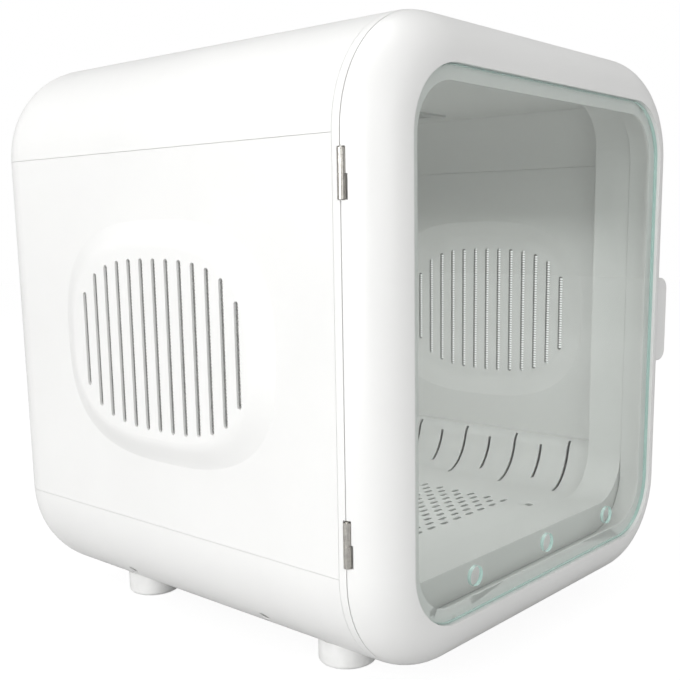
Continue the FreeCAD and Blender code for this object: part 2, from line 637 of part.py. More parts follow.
def build_door():
    low_hinge, high_hinge = hinge_levels()
    barrels = []
    leaves = []
    for low in (low_hinge, high_hinge):
        high = "%s + barrel_length" % low
        barrels.append(barrel_well(low))
        barrels.append(block("%s - %d" % (LEFT, PAST), "%s + barrel_radius + barrel_room" % HINGE_X,
                             "%s - barrel_radius - notch_side" % HINGE_Y, "%s + 1" % DOOR_BACK,
                             "%s - barrel_room" % low, high))
        leaves.append(block(HINGE_X, "%s + leaf_width + 0.2" % LEFT, "%s - leaf_thickness" % DOOR_BACK,
                            "%s + 1" % DOOR_BACK, "%s - 0.2" % high, "%s + barrel_length + 0.2" % high))
        for rise in LEAF_SCREWS:
            leaves.append(rod(1.25, 8, LEAF_SCREW_X, "%s - 8" % DOOR_BACK, "%s + %s" % (high, rise), "y"))

    # outer moulding: rounded rim, recess for the glass, ledge that the glass lies on
    slab = block(LEFT, RIGHT, FRONT, DOOR_BACK, 0, "%s + 1" % TOP)
    skin = cut(common(outer_form, slab), inner_form)
    rim = door_opening("(-door_wall)", FRONT, "%s + door_wall" % GLASS_BACK, "recess_radius + door_wall")
    face = common(outer_form, rim)
    recess = door_opening("0", "%s - 1" % FRONT, GLASS_BACK, "recess_radius")
    window = door_opening("flange_width", "%s - 1" % FRONT, "%s + %d" % (DOOR_BACK, PAST),
                          "recess_radius - flange_width")
    shell = cut(fuse(skin, face), recess, window, *barrels, *leaves)
    node("door_shell", shell)

    # inner moulding: closes the rim at the back and lines the doorway side
    plate_slab = block(LEFT, RIGHT, "%s - door_wall" % DOOR_BACK, DOOR_BACK, 0, "%s + 1" % TOP)
    inset_form = case_form("(wall + fit_gap)")
    plate = common(inset_form, plate_slab)
    liner = door_opening("(-door_wall * 2)", "%s + door_wall" % GLASS_BACK, DOOR_BACK,
                         "recess_radius + door_wall * 2")
    clear = door_opening("(-door_wall)", "%s - 1" % FRONT, "%s + %d" % (DOOR_BACK, PAST),
                         "recess_radius + door_wall")
    pads = []
    for low in (low_hinge, high_hinge):
        high = "%s + barrel_length" % low
        pads.append(common(inset_form,
                           block("%s + 4" % LEFT, "%s + leaf_width + 4" % LEFT, "%s - 8" % DOOR_BACK,
                                 "%s - 1" % DOOR_BACK, "%s - 2" % high, "%s + barrel_length + 2" % high)))
    groove = seal_ring("0.2", "%s - 1.6" % DOOR_BACK, "%s + 1" % DOOR_BACK)
    sockets = [block("%s - 19.7" % RIGHT, "%s - 8.3" % RIGHT, "%s - 8" % DOOR_BACK, "%s + 1" % DOOR_BACK,
                     "%s + %s" % (MIDDLE, z - 11.7), "%s + %s" % (MIDDLE, z + 11.7)) for z in MAGNET_RISES]
    holders = [block("%s - 21.5" % RIGHT, "%s - 6.5" % RIGHT, "%s - 8" % DOOR_BACK, "%s - 1" % DOOR_BACK,
                     "%s + %s" % (MIDDLE, z - 13.5), "%s + %s" % (MIDDLE, z + 13.5)) for z in MAGNET_RISES]
    inner = cut(fuse(plate, liner, *pads, *holders), clear, groove, *sockets, *leaves, *barrels)
    node("door_inner_frame", inner)
    magnets = [block("%s - 19.6" % RIGHT, "%s - 8.4" % RIGHT, "%s - 7" % DOOR_BACK, "%s - 0.2" % DOOR_BACK,
                     "%s + %s" % (MIDDLE, z - 11.6), "%s + %s" % (MIDDLE, z + 11.6)) for z in MAGNET_RISES]
    node("door_magnets", group(magnets))
    plates = [block("%s - 19.8" % RIGHT, "%s - 8.2" % RIGHT, "%s + 0.1" % FRAME_FACE, "%s + 1.5" % FRAME_FACE,
                    "%s + %s" % (MIDDLE, z - 11.8), "%s + %s" % (MIDDLE, z + 11.8)) for z in MAGNET_RISES]
    node("strike_plates", group(plates))

    # glass with its three vent holes
    sheet_glass = door_opening("glass_gap", "%s + 0.02" % GLASS_FRONT, "%s" % GLASS_BACK,
                               "recess_radius - glass_gap")
    holes = [rod("glass_hole / 2", PAST, "glass_hole_pitch * %d" % side, "%s - 5" % GLASS_FRONT,
                 "glass_hole_rise", "y") for side in (-1, 0, 1)]
    node("door_glass", cut(sheet_glass, *holes))

    # seal in the back of the door
    node("door_gasket", seal_ring("0", "%s - 1.5" % DOOR_BACK, "%s - 0.1" % FRAME_FACE))

    # grip on the opening side
    grip = rounded_pad("y", "%s - 24" % RIGHT, "%s + handle_reach" % RIGHT,
                       "%s - handle_length / 2" % MIDDLE, "%s + handle_length / 2" % MIDDLE,
                       "%s - 2 - handle_depth" % DOOR_BACK, "%s - 2" % DOOR_BACK, 11)
    grip = round_rim(round_rim(grip, False, 3), True, 2)
    scoop = rod(26, PAST + 8, "%s + handle_reach - 4" % RIGHT, "%s + 21" % DOOR_BACK, "%s - 14" % MIDDLE)
    node("door_handle", cut(grip, outer_form, scoop))


def seal_ring(grow, w0, w1):
    reach = "(-seal_offset - seal_width - %s)" % grow
    outside = door_opening(reach, w0, w1, "recess_radius + seal_offset + seal_width + %s" % grow)
    inside = door_opening("(%s - seal_offset)" % grow, "%s - 1" % w0, "%s + 1" % w1,
                          "recess_radius + seal_offset - %s" % grow)
    return cut(outside, inside)


# ---------------------------------------------------------------- chamber
COVE_PIVOT = 24    # the cove slots lean about a point this far outside the cove's centre


def cove_edges():
    """Section of the right cove: concave quarter from the floor, then a roll out to the wall."""
    radius, roll = SIZE["cove_radius"], SIZE["roll_radius"]
    lean = math.radians(90 - SIZE["cove_sweep"])
    wall_x = SIZE["body_width"] / 2 - SIZE["wall"] - SIZE["fit_gap"]
    middle = V(wall_x - (radius + roll) * math.cos(lean), SIZE["floor_level"] + radius)
    joint = middle + V(math.cos(lean), -math.sin(lean)) * radius
    roll_middle = joint + V(math.cos(lean), -math.sin(lean)) * roll
    t = SIZE["liner"]
    up = V(0, 0, 1)
    low, high = -math.pi / 2, -lean
    inner = Part.ArcOfCircle(Part.Circle(middle, up, radius), low, high)
    outer = Part.ArcOfCircle(Part.Circle(middle, up, radius + t), low, high)
    roll_inner = Part.ArcOfCircle(Part.Circle(roll_middle, up, roll), math.pi / 2, math.pi - lean)
    roll_outer = Part.ArcOfCircle(Part.Circle(roll_middle, up, roll - t), math.pi / 2, math.pi - lean)
    foot = Part.LineSegment(middle + V(0, -radius), middle + V(0, -radius - t))
    edge = Part.LineSegment(roll_middle + V(0, roll), roll_middle + V(0, roll - t))
    return [inner, outer, roll_inner, roll_outer, foot, edge], middle


def build_chamber():
    edges, middle = cove_edges()
    strip = outline_pad("y", edges, "%s + cove_gap" % CHAMBER_FRONT, "%s - fit_gap" % CHAMBER_BACK)
    floor_z = SIZE["floor_level"]
    slots = []
    for index in range(-4, 5):
        long_slot = index % 2 == 0
        low, high = (floor_z - 4, floor_z + 43) if long_slot else (floor_z + 4, floor_z + 36)
        start = middle.x + (1 if long_slot else 17)
        tool = Part.makeBox(middle.x + 60 - start, SIZE["cove_slot_width"], high - low,
                            V(start, -SIZE["cove_slot_width"] / 2, low))
        tool.rotate(V(middle.x + COVE_PIVOT, 0, 0), V(0, 0, 1), SIZE["cove_slot_lean"])
        tool.translate(V(0, -1 + index * SIZE["cove_slot_pitch"], 0))
        slots.append(tool)
    right = cut(strip, form("cove_slots", Part.makeCompound(slots)))
    node("right_cove_strip", right)
    node("left_cove_strip", mirrored(right))

    # floor plate with its field of staggered holes
    half_floor = middle.x - SIZE["fit_gap"]
    y0 = numeric_front() + SIZE["fit_gap"]
    y1 = SIZE["rear_reach"] - SIZE["rear_space"] - SIZE["fit_gap"]
    outline = polygon([(-half_floor, y0), (half_floor, y0), (half_floor, y1), (-half_floor, y1)])
    holes = []
    for line in range(-12, 13):
        shift = 0 if line % 2 == 0 else 0.5
        for step in range(-5, 6 if shift == 0 else 5):
            holes.append(obround((step + shift) * 19.5, line * 10, 5.5, 2.1, False))
    fixings = [[Part.Circle(V(x, y), V(0, 0, 1), 4)] for x, y in FLOOR_SCREWS]
    plate = perforated(outline, holes + fixings, SIZE["liner"])
    base = form("floor_field", plate, FreeCAD.Placement(V(0, 0, floor_z - SIZE["liner"]), FreeCAD.Rotation()))
    dishes = []
    for x, y in FLOOR_SCREWS:
        dishes.append(form("dish", Part.makeCone(4, 12, 1.2, V(x, y, floor_z - 1.2))))
    node("floor_plate", cut(base, *dishes))
    screws = []
    for x, y in FLOOR_SCREWS:
        screws.append(screw_shape(V(x, y, floor_z - 2.0), V(0, 0, -1), 3.8, 2.4, 1.8, 10))
    node("floor_screws", form("screws", Part.makeCompound(screws)))

    # bulkhead between chamber and rear space, and the ceiling
    wall_plate = rounded_pad("y", "%s + wall + fit_gap" % LEFT, "%s - wall - fit_gap" % RIGHT,
                             "%s + wall + fit_gap" % BOTTOM, "%s - wall - fit_gap" % TOP,
                             CHAMBER_BACK, "%s + liner" % CHAMBER_BACK, "corner_radius - wall - fit_gap")
    passes = [rod(7, PAST, x, "%s - 5" % CHAMBER_BACK, z, "y") for x, z in CABLE_HOLES]
    probe_hole = rod(3.1, PAST, PROBE_X, "%s - 5" % CHAMBER_BACK, PROBE_Z, "y")
    node("rear_bulkhead", cut(wall_plate, probe_hole, *passes))
    ceiling = block(-CEILING_HALF, CEILING_HALF,
                    "%s + fit_gap" % CHAMBER_FRONT, "%s - fit_gap" % CHAMBER_BACK,
                    "ceiling_level", "ceiling_level + liner")
    window = block("-lamp_half_length - 14", "lamp_half_length + 14", "lamp_y - 21", "lamp_y + 21",
                   "ceiling_level - 1", "ceiling_level + liner + 1")
    node("ceiling_liner", cut(ceiling, window))

    # temperature probe through the bulkhead
    flange = rod(7, 2, PROBE_X, "%s - 2" % CHAMBER_BACK, PROBE_Z, "y")
    stem = rod(3, 30, PROBE_X, "%s - 18" % CHAMBER_BACK, PROBE_Z, "y")
    node("temperature_probe", fuse(flange, stem))


def numeric_front():
    """Y of the chamber's front end."""
    return SIZE["door_depth"] + SIZE["door_gap"] + SIZE["tunnel_depth"] - SIZE["front_reach"]


FLOOR_SCREWS = [(x, y) for x in (-104, 104) for y in (-145.5, 150)]
CABLE_HOLES = [(-60, 54), (-60, 477), (20, 477)]
PROBE_X, PROBE_Z = 60, 420
CEILING_HALF = 193


def build_mesh_screens():
    """Fine perforated screens inside the side grilles: a ladder of small holes along every slot."""
    pitch = SIZE["screen_pitch"]
    half_hole = SIZE["slot_width"] / 2 - 0.3
    holes = []
    for offset in slot_offsets():
        count = int((slot_reach(offset) - 1) / pitch)
        holes += [obround(offset, step * pitch, half_hole, 0.95, False) for step in range(-count, count + 1)]
    outline = [soft_oblong(SIZE["slot_span"], SIZE["screen_half_height"], SLOT_POWER,
                           lambda u, v: V(u, v, 0))]
    screen = perforated(outline, holes, SIZE["screen_thickness"])
    # drawn in XY: turn it upright, across X, inside the raised face
    upright = FreeCAD.Rotation(V(0, 1, 0), V(0, 0, 1), V(1, 0, 0), "ZXY")
    x = SIZE["grille_skin"] + SIZE["fit_gap"] - SIZE["boss_height"] - SIZE["body_width"] / 2
    spot = FreeCAD.Placement(V(x, SIZE["grille_y"], MIDDLE_Z), upright)
    left = node("left_mesh_screen", form("screen", screen, spot))
    node("right_mesh_screen", mirrored(left))


# ---------------------------------------------------------------- feet and intake
def build_feet():
    names = {("-foot_x", "foot_front_y"): "foot_front_left", ("foot_x", "foot_front_y"): "foot_front_right",
             ("-foot_x", "foot_rear_y"): "foot_rear_left", ("foot_x", "foot_rear_y"): "foot_rear_right"}
    screws = []
    for (x, y), name in names.items():
        body = doc.addObject("PartDesign::Body", "foot")
        sketch = new_sketch(body, "z")
        sketch.addGeometry(Part.Circle(V(0, 0), V(0, 0, 1), SIZE["foot_radius"]))
        pad(body, sketch, "foot_height", "z")
        doc.recompute()
        solid = body.Tip
        rim = ["Edge%d" % index for index, edge in enumerate(solid.Shape.Edges, start=1)
               if edge.BoundBox.ZMax < 1e-6]
        fillet = body.newObject("PartDesign::Fillet", "edge")
        fillet.Base = (solid, rim)
        fillet.Radius = 4
        body.Tip = fillet
        place(body, x, y, 0)
        hole = rod(FOOT_SCREW_RADIUS + 0.2, 40, x, y, -1)
        well = rod(6, 11, x, y, -1)
        node(name, cut(body, hole, well))
        spot = V(SIZE["foot_x"] * (-1 if x.startswith("-") else 1), SIZE[y], 7.5)
        screws.append(screw_shape(spot, V(0, 0, 1), 4.5, 2.5, FOOT_SCREW_RADIUS, 27))
    node("foot_screws", form("screws", Part.makeCompound(screws)))


def build_intake():
    disc = rod(INTAKE_RADIUS - 0.3, 2.6, 0, 0, BOTTOM)
    slots = []
    for line in range(-5, 6):
        reach = math.sqrt((INTAKE_RADIUS - 8) ** 2 - (line * 10.5) ** 2)
        slots += obround(0, line * 10.5, reach, 2.5, False)
    slot_cutter = outline_pad("z", slots, "%s - 1" % BOTTOM, "%s + 5" % BOTTOM)
    node("intake_cover", cut(disc, slot_cutter))
    node("intake_filter", rod(INTAKE_RADIUS - 2, 4, 0, 0, "%s + 2.65" % BOTTOM))


# ---------------------------------------------------------------- air unit
def build_air_unit():
    top = "fan_base + fan_height"
    shroud = rounded_pad("z", "-fan_size / 2", "fan_size / 2", "-fan_size / 2", "fan_size / 2",
                         "fan_base", top, 10)
    bore = rod("fan_bore_radius", 60, 0, 0, "fan_base - 5")
    waist = cut(block("-fan_size / 2 - 1", "fan_size / 2 + 1", "-fan_size / 2 - 1", "fan_size / 2 + 1",
                      "fan_base + 5", "%s - 5" % top), rod("fan_bore_radius + 3.5", 60, 0, 0, "fan_base - 5"))
    corner_holes = [rod(2.2, 60, x, y, "fan_base - 5") for x in FAN_CORNERS for y in FAN_CORNERS]
    arms = [block("-fan_bore_radius - 2", "fan_bore_radius + 2", -3, 3, "fan_base", "fan_base + 4"),
            block(-3, 3, "-fan_bore_radius - 2", "fan_bore_radius + 2", "fan_base", "fan_base + 4")]
    seat = rod("hub_radius - 1", 4, 0, 0, "fan_base")
    node("fan_frame", fuse(cut(shroud, bore, waist, *corner_holes), seat, *arms))

    stator = rod("hub_radius - 6", 16, 0, 0, "fan_base + 4")
    shaft = rod(3, 10, 0, 0, "fan_base + 19.5")
    node("fan_motor", fuse(stator, shaft))

    hub = cut(rod("hub_radius", 24.5, 0, 0, "fan_base + 5.5"),
              rod("hub_radius - 3.5", 17, 0, 0, "fan_base + 5"),
              rod("3 + fit_gap", 12, 0, 0, "fan_base + 20"))
    blade_z = SIZE["fan_base"] + 17
    ring = Part.makeCylinder(SIZE["blade_tip_radius"], 30, V(0, 0, blade_z - 15))
    ring = ring.cut(Part.makeCylinder(SIZE["hub_radius"] - 1, 30, V(0, 0, blade_z - 15)))
    blades = []
    for index in range(SIZE["blade_count"]):
        blade = Part.makeBox(50, 30, 2.2, V(20, -15, -1.1))
        blade.rotate(V(), V(1, 0, 0), 33)
        blade.translate(V(0, 0, blade_z))
        blade.rotate(V(), V(0, 0, 1), index * 360 / SIZE["blade_count"])
        blades.append(form("blade", blade.common(ring)))
    node("fan_impeller", fuse(hub, *blades))

    low = "fan_base + fan_height + 0.1"
    high = "fan_base + fan_height + heater_height"
    frame = rounded_pad("z", "-fan_size / 2", "fan_size / 2", "-fan_size / 2", "fan_size / 2", low, high, 10)
    hole = rounded_pad("z", "9 - fan_size / 2", "fan_size / 2 - 9", "9 - fan_size / 2", "fan_size / 2 - 9",
                       "%s - 1" % low, "%s + 1" % high, 3)
    node("heater_frame", cut(frame, hole))
    bars = [block("9.05 - fan_size / 2", "fan_size / 2 - 9.05", y - 3, y + 3, "%s + 2" % low, "%s - 2" % high)
            for y in (-42, 0, 42)]
    fins = [block(x - 0.5, x + 0.5, "14 - fan_size / 2", "fan_size / 2 - 14", "%s + 3" % low, "%s - 3" % high)
            for x in range(-60, 61, 6)]
    node("heater_element", fuse(*bars, *fins))


# ---------------------------------------------------------------- lamp
def build_lamp():
    lamp_z = "ceiling_level + lamp_rise"
    tube = rod("lamp_radius", "lamp_half_length * 2 - 20", "10 - lamp_half_length", "lamp_y", lamp_z, "x")
    caps = [rod("lamp_radius + 0.4", 10, x, "lamp_y", lamp_z, "x")
            for x in ("-lamp_half_length", "lamp_half_length - 10")]
    node("uv_lamp", fuse(tube, *caps))
    holders = []
    for side in (-1, 1):
        near, far = ("lamp_half_length + 0.1", "lamp_half_length + 11")
        x0, x1 = (near, far) if side > 0 else ("-(%s)" % far, "-(%s)" % near)
        holders.append(block(x0, x1, "lamp_y - 10", "lamp_y + 10", "ceiling_level + 3", "%s + 11" % lamp_z))
    node("lamp_holders", group(holders))
    half = "(lamp_half_length + 12)"
    outside = block("-%s" % half, half, "lamp_y - 19", "lamp_y + 19",
                    "ceiling_level + 0.5", "%s + 12.5" % lamp_z)
    inside = block("1 - %s" % half, "%s - 1" % half, "lamp_y - 18", "lamp_y + 18", "ceiling_level - 1",
                   "%s + 11.5" % lamp_z)
    wings = cut(block("-%s - 12" % half, "%s + 12" % half, "lamp_y - 29", "lamp_y + 29",
                      "ceiling_level + liner", "ceiling_level + liner + 1"),
                block("-%s" % half, half, "lamp_y - 18.5", "lamp_y + 18.5", "ceiling_level", "%s" % lamp_z))
    node("lamp_reflector", fuse(cut(outside, inside), wings))
    guard = rounded_pad("z", "-%s - 10" % half, "%s + 10" % half, "lamp_y - 27", "lamp_y + 27",
                        "ceiling_level - 2", "ceiling_level", 8)
    slots = []
    for step in range(-10, 11):
        slots += obround(step * 13.5, SIZE["lamp_y"], 18, 4.5, True)
    slot_cutter = outline_pad("z", slots, "ceiling_level - 5", "ceiling_level + 5")
    node("lamp_guard", cut(guard, slot_cutter))


# ---------------------------------------------------------------- control panel
BUTTON_NAMES = ("button_power", "button_mode", "button_minus", "button_plus")


def button_x(index):
    return "(6 + button_pitch * %d)" % index


def build_controls():
    face = "(%s - panel_drop)" % TOP
    under = "(%s - wall)" % TOP
    plate = rounded_pad("z", "0.1 - panel_half_width", "panel_half_width - 0.1",
                        "panel_y - panel_half_depth + 0.1", "panel_y + panel_half_depth - 0.1",
                        "%s - 1.5" % under, face, 7.9)
    flange = rounded_pad("z", "-panel_half_width - 3", "panel_half_width + 3",
                         "panel_y - panel_half_depth - 3", "panel_y + panel_half_depth + 3",
                         "%s - 1.5" % under, "%s - 0.02" % under, 10)
    posts = [rod(2.5, 12, x, y, "%s - 13" % under)
             for x in ("6 - panel_half_width", "panel_half_width - 6")
             for y in ("panel_y - panel_half_depth + 5", "panel_y + panel_half_depth - 5")]
    window = rounded_pad("z", "8 - panel_half_width", "-4", "panel_y - 11", "panel_y + 11",
                         "%s - 5" % under, "%s + 5" % face, 3)
    holes = [rod("button_radius + button_gap", PAST, button_x(index), "panel_y", "%s - 10" % under)
             for index in range(len(BUTTON_NAMES))]
    node("control_panel", cut(fuse(plate, flange, *posts), window, *holes))
    lens = rounded_pad("z", "8.1 - panel_half_width", "-4.1", "panel_y - 10.9", "panel_y + 10.9",
                       "%s - 1" % under, "%s + 0.3" % face, 2.9)
    node("display_lens", lens)
    for index, name in enumerate(BUTTON_NAMES):
        stem = rod("button_radius", "wall + 1.5", button_x(index), "panel_y", "%s - 1.5" % under)
        foot = rod("button_radius + 1", 1, button_x(index), "panel_y", "%s - 2.55" % under)
        neck = rod("button_radius - 1", 2, button_x(index), "panel_y", "%s - 2.5" % under)
        node(name, fuse(stem, foot, neck))
    board = block("1 - panel_half_width", "panel_half_width - 1", "panel_y - panel_half_depth + 1",
                  "panel_y + panel_half_depth - 1", "%s - 14.7" % under, "%s - 13.1" % under)
    switches = [block("%s - 3" % button_x(index), "%s + 3" % button_x(index), "panel_y - 3", "panel_y + 3",
                      "%s - 13.2" % under, "%s - 3.6" % under) for index in range(len(BUTTON_NAMES))]
    screen = block("10 - panel_half_width", "-6", "panel_y - 9", "panel_y + 9", "%s - 13.2" % under,
                   "%s - 2" % under)
    node("display_board", fuse(board, screen, *switches))


# ---------------------------------------------------------------- rear electrics
def build_rear():
    face = "%s - 2" % BACK
    back_y = SIZE["rear_reach"]

    # mains inlet: flange outside the panel, socket body inside it, three flat pins
    flange = rounded_pad("y", INLET_X - 19, INLET_X + 19, INLET_Z - 12, INLET_Z + 12, face,
                         "%s + 1.8" % face, 3)
    body = block(INLET_X - 13.4, INLET_X + 13.4, "%s - 22" % face, "%s + 1" % face,
                 INLET_Z - 9.7, INLET_Z + 9.7)
    mouth = outline_pad("y", polygon([(INLET_X - 12, INLET_Z - 8), (INLET_X + 12, INLET_Z - 8),
                                      (INLET_X + 12, INLET_Z + 3), (INLET_X + 7, INLET_Z + 8),
                                      (INLET_X - 7, INLET_Z + 8), (INLET_X - 12, INLET_Z + 3)]),
                        "%s - 16" % face, "%s + 5" % face)
    pins = [block(INLET_X + dx - 1, INLET_X + dx + 1, "%s - 24" % face, "%s - 2" % face,
                  INLET_Z + dz - 2, INLET_Z + dz + 2) for dx, dz in ((-7, -2), (0, 2), (7, -2))]
    node("mains_inlet", fuse(cut(fuse(flange, body), mouth), *pins))

    # rocker switch: bezel and body with a pocket, rocker on two short trunnions
    axis_y, reach = back_y - 9.0, 8.4
    bezel = rounded_pad("y", SWITCH_X - 8.5, SWITCH_X + 8.5, INLET_Z - 12, INLET_Z + 12, face,
                        "%s + 1.5" % face, 2)
    box = block(SWITCH_X - 6.7, SWITCH_X + 6.7, "%s - 16" % face, "%s + 1" % face, INLET_Z - 9.8,
                INLET_Z + 9.8)
    pocket = block(SWITCH_X - 5.4, SWITCH_X + 5.4, "%s - 13" % face, "%s + 5" % face, INLET_Z - 8.8,
                   INLET_Z + 8.8)
    bearing = rod("1 + fit_gap", 12.9, SWITCH_X - 6.45, axis_y, INLET_Z, "x")
    node("switch_frame", cut(fuse(bezel, box), pocket, bearing))
    outline = [(5.6, 6.2), (4.6, 0), (5.6, -6.2), (-4.6, -6.9), (-4.6, 6.9)]
    tilt = math.radians(-9)
    points = [(axis_y + y * math.cos(tilt) - z * math.sin(tilt),
               INLET_Z + y * math.sin(tilt) + z * math.cos(tilt)) for y, z in outline]
    rocker = outline_pad("x", polygon(points), SWITCH_X - 5.3, SWITCH_X + 5.3)
    trunnion = rod(1, 12.8, SWITCH_X - 6.4, axis_y, INLET_Z, "x")
    node("switch_rocker", fuse(rocker, trunnion))

    # power board on the bulkhead
    board_y = "%s + liner + 5" % CHAMBER_BACK
    board = block(-150, -10, board_y, "%s + 1.6" % board_y, 230, 380)
    posts = [rod(3, 5.1, x, "%s + liner + 0.02" % CHAMBER_BACK, z, "y")
             for x in (-144, -16) for z in (236, 374)]
    transformer = block(-130, -85, "%s + 1.5" % board_y, "%s + 27" % board_y, 250, 290)
    capacitors = [rod(8, 22, x, "%s + 1.5" % board_y, 355, "y") for x in (-125, -103, -81)]
    sink = [block(-60, -25, "%s + 1.5" % board_y, "%s + 4" % board_y, 250, 330)]
    sink += [block(x - 0.8, x + 0.8, "%s + 3" % board_y, "%s + 22" % board_y, 250, 330)
             for x in range(-58, -24, 6)]
    plugs = [block(x - 6, x + 6, "%s + 1.5" % board_y, "%s + 10" % board_y, z - 4, z + 4)
             for x, z in BOARD_PLUGS]
    node("power_board", fuse(board, transformer, *posts, *capacitors, *sink, *plugs))


BOARD_PLUGS = [(-60, 236), (-60, 372), (-30, 372)]


def build_leads():
    """Wires that run inside the case from the power board to the fan, lamp and display."""
    board_y = SIZE["rear_reach"] - SIZE["rear_space"] + SIZE["liner"] + 5
    plug_y = board_y + 5.5
    under = SIZE["foot_height"] + SIZE["body_height"] - SIZE["wall"]
    fan_side = SIZE["fan_size"] / 2
    rear = SIZE["rear_reach"] - SIZE["rear_space"]
    fan = [(-60, plug_y, 231.9), (-60, plug_y + 3, 180), (-60, plug_y - 2, 120), (-60, plug_y, 66),
           (-60, rear - 6, 45), (-58, 148, 46), (-52, 110, 48), (-50, fan_side + 0.1, 50)]
    lamp = [(-60, plug_y, 376.6), (-60, plug_y + 3, 420), (-60, plug_y, 462), (-60, rear - 4, 486),
            (-58, 140, 485), (-52, 100, 484), (-50, 72, 484), (-50, SIZE["lamp_y"] + 19.1, 484)]
    screen = [(-30, plug_y, 376.6), (-24, plug_y + 3, 420), (20, plug_y, 462), (20, rear - 4, 486),
              (12, 140, 484), (14, 90, 497), (8, 40, 497), (12, -10, 497), (14, -60, 496),
              (20, -100, 488), (20, SIZE["panel_y"] + SIZE["panel_half_depth"] - 0.9, 483.6)]
    node("fan_lead", form("fan_lead", lead(fan, 2)))
    node("lamp_lead", form("lamp_lead", lead(lamp, 2)))
    node("display_lead", form("display_lead", lead(screen[:-1] + [(20, -131 + 0.1, under - 13.9)], 1.2)))


# ---------------------------------------------------------------- build and write
def write_parts():
    doc.recompute()
    for item in doc.Objects:
        if "Invalid" in item.State or "Error" in item.State:
            raise RuntimeError("failed object: %s (%s)" % (item.Label, item.Name))
    os.makedirs("parts", exist_ok=True)
    for name, item in NODES.items():
        shape = item.Shape
        if shape.isNull() or not shape.isValid():
            raise RuntimeError("bad shape: %s" % name)
        shape.exportStep("parts/%s.step" % name)
    print(len(NODES), "sub-parts written")


build_case()
build_side_screws()
frame_screws, leaf_screws = build_hinges()
node("hinge_screws_frame", form("screws", Part.makeCompound(frame_screws)))
node("hinge_screws_door", form("screws", Part.makeCompound(leaf_screws)))
build_door()
build_chamber()
build_mesh_screens()
build_feet()
build_intake()
build_air_unit()
build_lamp()
build_controls()
build_rear()
build_leads()
write_parts()
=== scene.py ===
"""Looks of the drying cabinet: camera, soft studio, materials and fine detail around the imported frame.

Metres, in the frame of the CAD model: +Z up, the glazed door towards -Y.
"""
import json
import math

import bpy
from mathutils import Matrix, Vector

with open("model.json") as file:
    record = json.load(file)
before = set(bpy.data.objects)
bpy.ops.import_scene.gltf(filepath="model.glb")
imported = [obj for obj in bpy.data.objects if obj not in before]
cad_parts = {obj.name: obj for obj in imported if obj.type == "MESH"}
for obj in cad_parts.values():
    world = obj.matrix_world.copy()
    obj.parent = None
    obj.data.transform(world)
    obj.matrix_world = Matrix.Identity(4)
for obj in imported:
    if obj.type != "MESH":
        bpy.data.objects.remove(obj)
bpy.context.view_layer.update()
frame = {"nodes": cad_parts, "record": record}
NODES = frame["nodes"]
MM = 0.001
MICRON = 0.000001

CAMERA_SPOT = (-0.6957, -0.6456, 0.3505)
CAMERA_YAW, CAMERA_PITCH, CAMERA_ROLL = 50.23, -9.70, -0.39    # degrees
CAMERA_LENS, CAMERA_SHIFT = 51.9, (-0.087, 0.086)
FLOOR_SIDE = 12
NOISE_LOW, NOISE_HIGH = 0.3, 0.7         # where a noise texture's values mostly lie
GLASS_IOR = 1.5
FACE_TILT = 0.7                          # below this, a normal belongs to the cut edge of a sheet


# ---------------------------------------------------------------- camera
def add_camera():
    """A close, slightly wide view from the hinge side, level with the middle of the cabinet."""
    yaw, pitch, roll = (math.radians(turn) for turn in (CAMERA_YAW, CAMERA_PITCH, CAMERA_ROLL))
    ahead = Vector((math.cos(pitch) * math.sin(yaw), math.cos(pitch) * math.cos(yaw), math.sin(pitch)))
    right = Vector((math.cos(yaw), -math.sin(yaw), 0))
    up = right.cross(ahead)
    side = right * math.cos(roll) + up * math.sin(roll)
    top = up * math.cos(roll) - right * math.sin(roll)
    data = bpy.data.cameras.new("camera")
    data.sensor_width = 36
    data.lens = CAMERA_LENS
    data.shift_x, data.shift_y = CAMERA_SHIFT
    data.clip_start, data.clip_end = 0.01, 50
    camera = bpy.data.objects.new("camera", data)
    camera.matrix_world = Matrix.Translation(CAMERA_SPOT) @ Matrix((side, top, -ahead)).transposed().to_4x4()
    bpy.context.scene.collection.objects.link(camera)
    bpy.context.scene.camera = camera


add_camera()


# ---------------------------------------------------------------- studio
def add_world():
    """White to the camera; as light it is brighter on the hinge side and overhead, darker beyond the door."""
    world = bpy.data.worlds.new("studio")
    bpy.context.scene.world = world
    world.use_nodes = True
    tree = world.node_tree
    split = tree.nodes.new("ShaderNodeSeparateXYZ")
    tree.links.new(tree.nodes.new("ShaderNodeTexCoord").outputs["Generated"], split.inputs[0])
    level = None
    for axis, low, high in (("X", 0.54, 0.30), ("Y", -0.05, 0.10), ("Z", -0.06, 0.10)):
        ramp = tree.nodes.new("ShaderNodeMapRange")
        ramp.interpolation_type = "SMOOTHSTEP"
        ramp.inputs["From Min"].default_value = -1
        ramp.inputs["To Min"].default_value = low
        ramp.inputs["To Max"].default_value = high
        tree.links.new(split.outputs[axis], ramp.inputs["Value"])
        if level is None:
            level = ramp.outputs["Result"]
            continue
        total = tree.nodes.new("ShaderNodeMath")
        tree.links.new(level, total.inputs[0])
        tree.links.new(ramp.outputs["Result"], total.inputs[1])
        level = total.outputs[0]
    light = tree.nodes["Background"]
    light.inputs["Color"].default_value = (1, 1, 1, 1)
    tree.links.new(level, light.inputs["Strength"])
    bright = tree.nodes.new("ShaderNodeBackground")
    bright.inputs["Color"].default_value = (1, 1, 1, 1)
    mix = tree.nodes.new("ShaderNodeMixShader")
    tree.links.new(tree.nodes.new("ShaderNodeLightPath").outputs["Is Camera Ray"], mix.inputs["Fac"])
    tree.links.new(light.outputs[0], mix.inputs[1])
    tree.links.new(bright.outputs[0], mix.inputs[2])
    tree.links.new(mix.outputs[0], tree.nodes["World Output"].inputs["Surface"])


